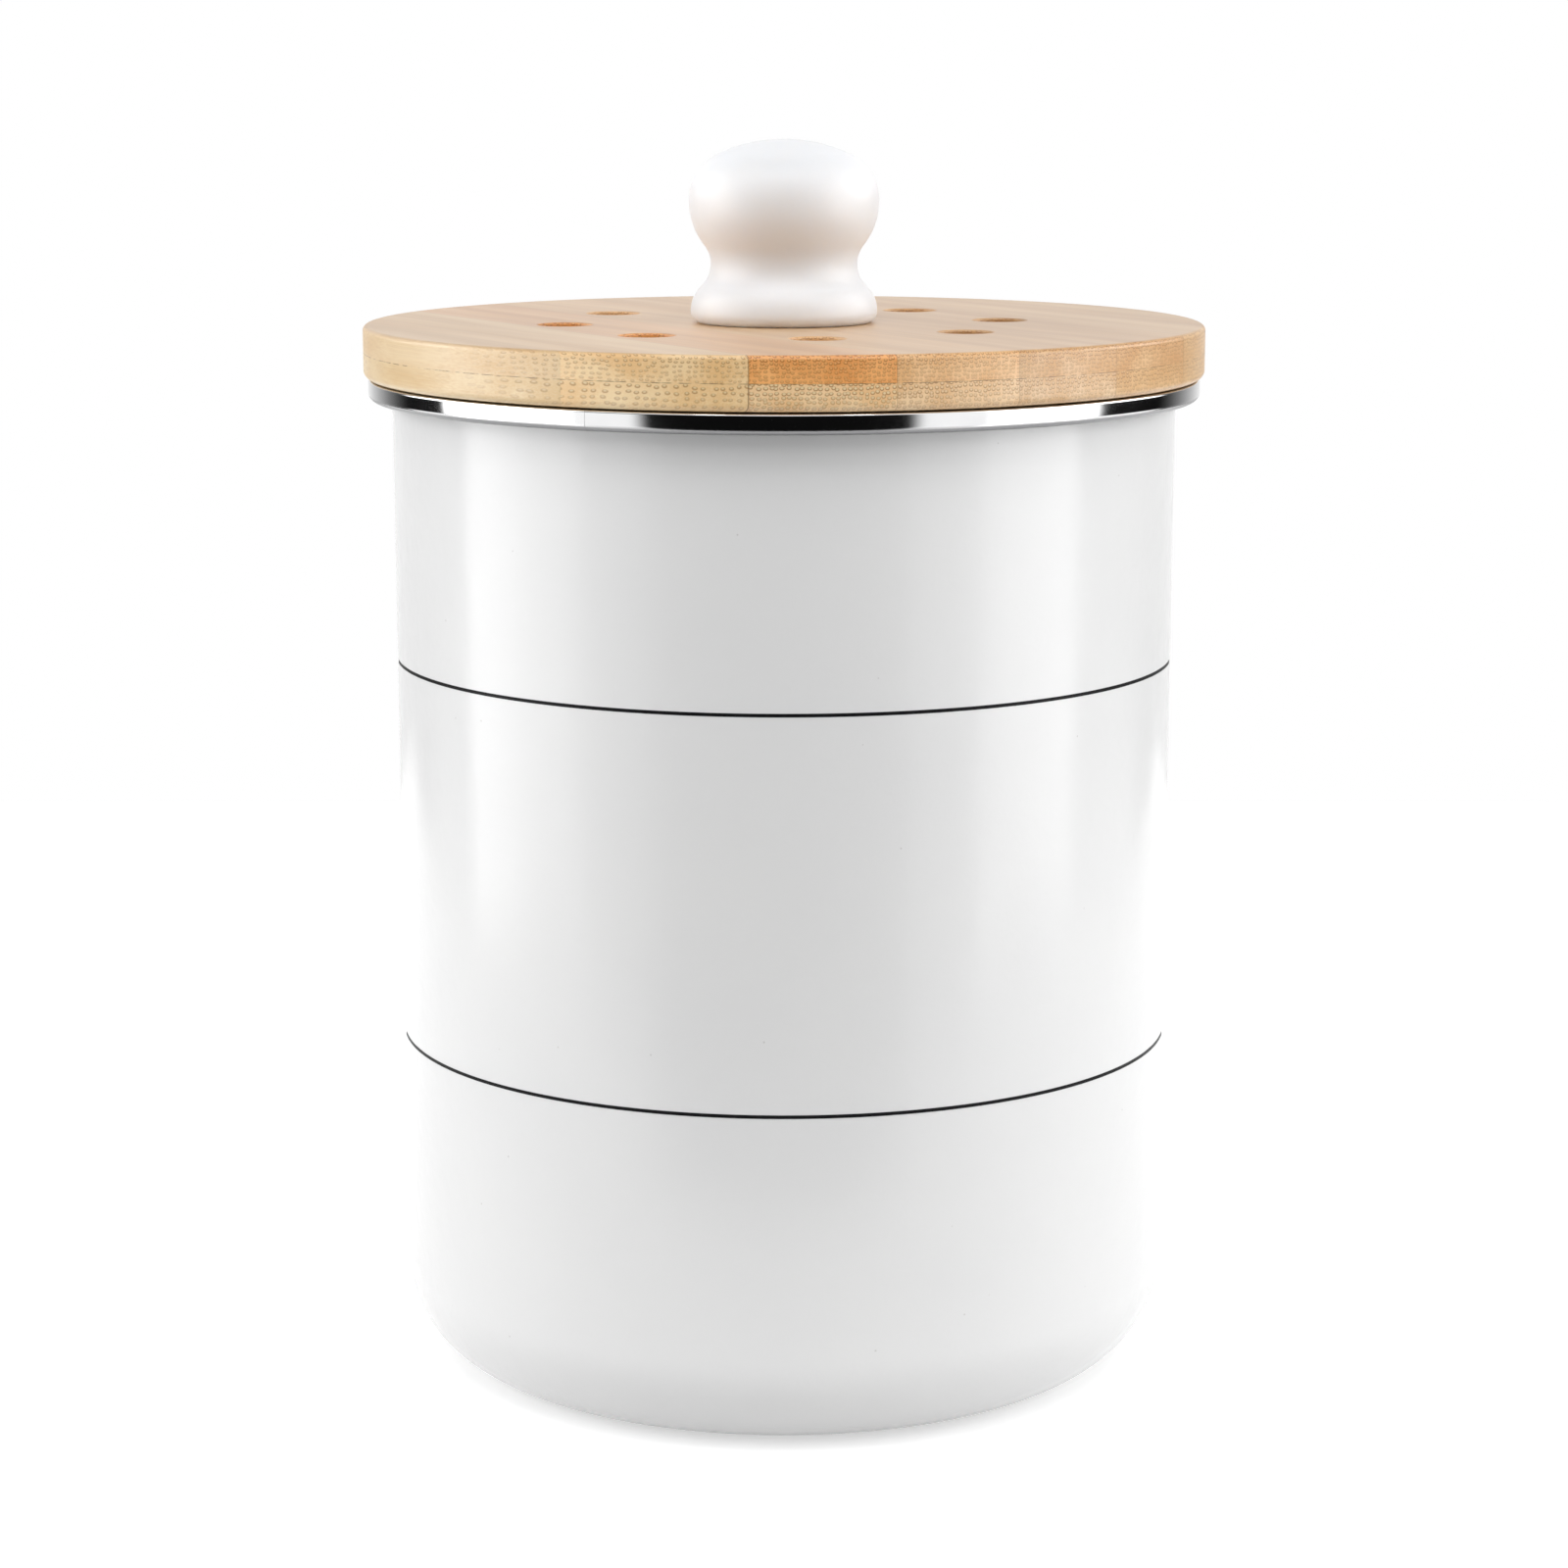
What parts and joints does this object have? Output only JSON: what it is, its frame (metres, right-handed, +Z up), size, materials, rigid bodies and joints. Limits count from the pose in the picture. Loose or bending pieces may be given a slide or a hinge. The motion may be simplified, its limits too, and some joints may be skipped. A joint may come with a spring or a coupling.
{
  "type": "compost caddy",
  "caption": "Straight round enamelled bucket with a stainless lip band and a vented bamboo lid with a knob, seal and carbon filter, for kitchen scraps.",
  "frame": {"origin": "centre of the bucket's base, on the surface it stands on", "axes": "+Z up along the bucket's axis, -Y towards the front, +X to the right seen from the front"},
  "size_m": [0.17, 0.17, 0.2512],
  "materials": {
    "enamel": "glossy white enamel on steel",
    "stainless": "polished stainless steel",
    "silicone": "translucent white silicone",
    "bamboo": "sanded bamboo with a satin oil",
    "glaze": "white glazed ceramic",
    "brass": "turned brass",
    "screw_steel": "zinc-plated steel",
    "tray_plastic": "moulded polypropylene",
    "carbon_felt": "black activated-carbon felt"
  },
  "bodies": {
    "bin": {"bucket": "enamel", "rim_band": "stainless"},
    "seal": {"seal_ring": "silicone"},
    "lid": {"upper_strip_left_1": "bamboo", "upper_strip_left_2": "bamboo", "upper_strip_left_3": "bamboo", "upper_strip_left_4": "bamboo", "upper_strip_right_1": "bamboo", "upper_strip_right_2": "bamboo", "upper_strip_right_3": "bamboo", "upper_strip_right_4": "bamboo", "lower_strip_left_1": "bamboo", "lower_strip_left_2": "bamboo", "lower_strip_left_3": "bamboo", "lower_strip_left_4": "bamboo", "lower_strip_right_1": "bamboo", "lower_strip_right_2": "bamboo", "lower_strip_right_3": "bamboo", "lower_strip_right_4": "bamboo", "lid_plug": "bamboo", "knob": "glaze", "knob_insert": "brass", "knob_screw": "screw_steel", "knob_washer": "screw_steel"},
    "filter": {"filter_tray": "tray_plastic", "filter_pad": "carbon_felt"}
  },
  "joints": [
    {"name": "lid_lift", "type": "slide", "parent": "bin", "child": "seal", "axis": [0, 0, 1], "range_m": [0, 0.16]},
    {"name": "lid_turn", "type": "hinge", "parent": "seal", "child": "lid", "pos_m": [0, 0, 0.2], "axis": [0, 0, 1], "continuous": true},
    {"name": "filter_pull", "type": "slide", "parent": "lid", "child": "filter", "axis": [0, 0, -1], "range_m": [0, 0.03]}
  ]
}
